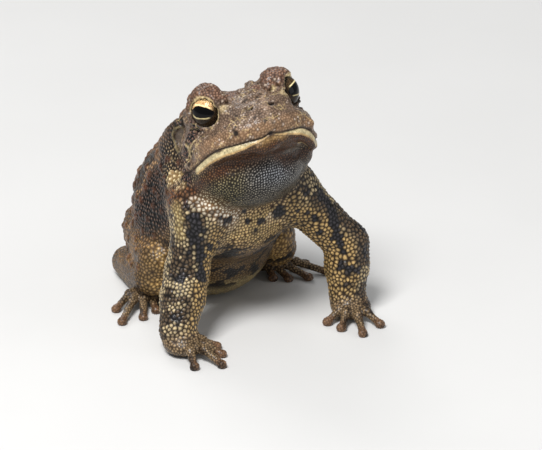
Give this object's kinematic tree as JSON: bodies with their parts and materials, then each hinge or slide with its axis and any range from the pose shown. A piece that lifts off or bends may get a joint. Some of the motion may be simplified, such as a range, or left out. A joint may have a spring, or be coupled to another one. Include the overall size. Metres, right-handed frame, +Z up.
{
  "type": "toad model",
  "caption": "Life-size sitting toad with a half-filled vocal sac, warty skin and raised eyes, as a still model that rests on belly, hands and feet.",
  "frame": {"origin": "middle of the flat patch of belly that the toad rests on, on the floor", "axes": "+Z up, -Y the way the toad's body faces, +X its left side"},
  "size_m": [0.0607, 0.0675, 0.0644],
  "materials": {
    "skin_head": "moist warty skin, brown with cream veins",
    "skin_throat": "finely grained dark grey skin",
    "skin_body": "warty skin, dark brown above and cream with dark spots below",
    "skin_arms": "granular olive-brown skin with black bands",
    "skin_legs": "granular brown skin with dark bars",
    "skin_hands": "finely grained brown skin",
    "eye": "clear and wet over a dark iris with gold flecks"
  },
  "bodies": {
    "root": {"head": "skin_head", "throat": "skin_throat", "torso": "skin_body", "eye_left": "eye", "eye_right": "eye", "upper_arm_left": "skin_arms", "upper_arm_right": "skin_arms", "forearm_left": "skin_arms", "forearm_right": "skin_arms", "hand_left": "skin_hands", "hand_right": "skin_hands", "thigh_left": "skin_legs", "thigh_right": "skin_legs", "shank_left": "skin_legs", "shank_right": "skin_legs", "foot_left": "skin_hands", "foot_right": "skin_hands"}
  },
  "joints": []
}
